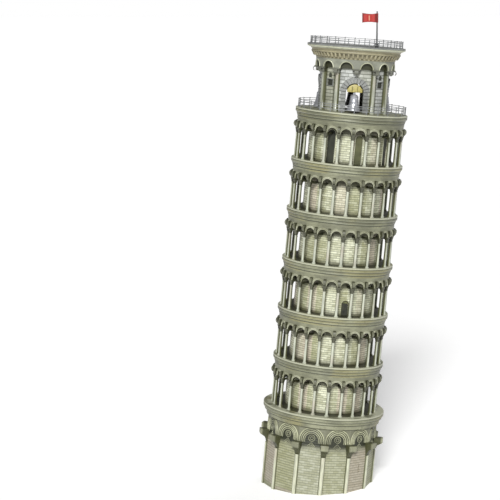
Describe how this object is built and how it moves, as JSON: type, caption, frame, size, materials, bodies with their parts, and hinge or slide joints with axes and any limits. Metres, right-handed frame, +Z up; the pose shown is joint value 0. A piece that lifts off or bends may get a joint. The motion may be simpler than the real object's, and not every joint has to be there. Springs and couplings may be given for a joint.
{
  "type": "miniature landmark model",
  "caption": "Leaning round bell tower model with open arcaded galleries, a belfry with swinging bells and a turning flag.",
  "frame": {"origin": "on the ground at the centre of the base, where the leaning axis meets it", "axes": "+Z up and normal to the ground; the front faces -Y; the tower leans towards +X"},
  "size_m": [0.1243, 0.1068, 0.4005],
  "materials": {
    "backing_card": "plain grey-board, matt",
    "core_board": "stacked corrugated board, cut and glued",
    "stone_print": "printed stone courses, satin",
    "column_card": "rolled printed card, satin",
    "capital_card": "cut and folded card, satin",
    "arcade_card": "cut printed card, satin",
    "voussoir_card": "grey printed voussoirs, satin",
    "tan_cornice": "warm printed card, satin",
    "cornice_card": "laminated printed card with fine mouldings, satin",
    "roof_card": "grey laminated card, satin",
    "railing_wire": "thin grey wire",
    "yoke_wood": "yellow painted wood",
    "bell_metal": "dull silver-grey casting",
    "pole_wire": "dark wire",
    "flag_card": "red printed paper, satin"
  },
  "bodies": {
    "tower": {"foot_plate": "backing_card", "base_core": "core_board", "gallery_core": "core_board", "belfry_core": "core_board", "base_wall": "stone_print", "base_columns": "column_card", "base_capitals": "capital_card", "base_arches": "arcade_card", "base_cornice": "cornice_card", "gallery_1_wall": "stone_print", "gallery_1_columns": "column_card", "gallery_1_capitals": "capital_card", "gallery_1_arcade": "arcade_card", "gallery_1_cornice": "cornice_card", "gallery_2_wall": "stone_print", "gallery_2_columns": "column_card", "gallery_2_capitals": "capital_card", "gallery_2_arcade": "arcade_card", "gallery_2_cornice": "cornice_card", "gallery_3_wall": "stone_print", "gallery_3_columns": "column_card", "gallery_3_capitals": "capital_card", "gallery_3_arcade": "arcade_card", "gallery_3_cornice": "cornice_card", "gallery_4_wall": "stone_print", "gallery_4_columns": "column_card", "gallery_4_capitals": "capital_card", "gallery_4_arcade": "arcade_card", "gallery_4_cornice": "cornice_card", "gallery_5_wall": "stone_print", "gallery_5_columns": "column_card", "gallery_5_capitals": "capital_card", "gallery_5_arcade": "arcade_card", "gallery_5_cornice": "cornice_card", "gallery_6_wall": "stone_print", "gallery_6_columns": "column_card", "gallery_6_capitals": "capital_card", "gallery_6_arcade": "arcade_card", "gallery_6_cornice": "cornice_card", "terrace_railing": "railing_wire", "belfry_wall": "stone_print", "bell_surrounds": "voussoir_card", "belfry_columns": "column_card", "belfry_capitals": "capital_card", "belfry_arcade": "arcade_card", "belfry_cornice": "tan_cornice", "belfry_dentils": "tan_cornice", "roof_slab": "roof_card", "roof_railing": "railing_wire", "flag_socket": "pole_wire"},
    "front_bell": {"front_headstock": "yoke_wood", "front_bell": "bell_metal"},
    "right_bell": {"right_headstock": "yoke_wood", "right_bell": "bell_metal"},
    "back_bell": {"back_headstock": "yoke_wood", "back_bell": "bell_metal"},
    "left_bell": {"left_headstock": "yoke_wood", "left_bell": "bell_metal"},
    "flagstaff": {"flagpole": "pole_wire", "flag": "flag_card"}
  },
  "joints": [
    {"name": "front_bell_swing", "type": "hinge", "parent": "tower", "child": "front_bell", "pos_m": [0.02911, -0.02675, 0.33694], "axis": [0.9977, 0, -0.068], "range_deg": [-15, 15]},
    {"name": "right_bell_swing", "type": "hinge", "parent": "tower", "child": "right_bell", "pos_m": [0.0558, 0, 0.33512], "axis": [0, 1, 0], "range_deg": [-15, 15]},
    {"name": "back_bell_swing", "type": "hinge", "parent": "tower", "child": "back_bell", "pos_m": [0.02911, 0.02675, 0.33694], "axis": [-0.9977, 0, 0.068], "range_deg": [-15, 15]},
    {"name": "left_bell_swing", "type": "hinge", "parent": "tower", "child": "left_bell", "pos_m": [0.00242, 0, 0.33876], "axis": [0, -1, 0], "range_deg": [-15, 15]},
    {"name": "flagpole_turn", "type": "hinge", "parent": "tower", "child": "flagstaff", "pos_m": [0.04646, -0.0326, 0.37294], "axis": [0, 0, 1], "continuous": true}
  ]
}
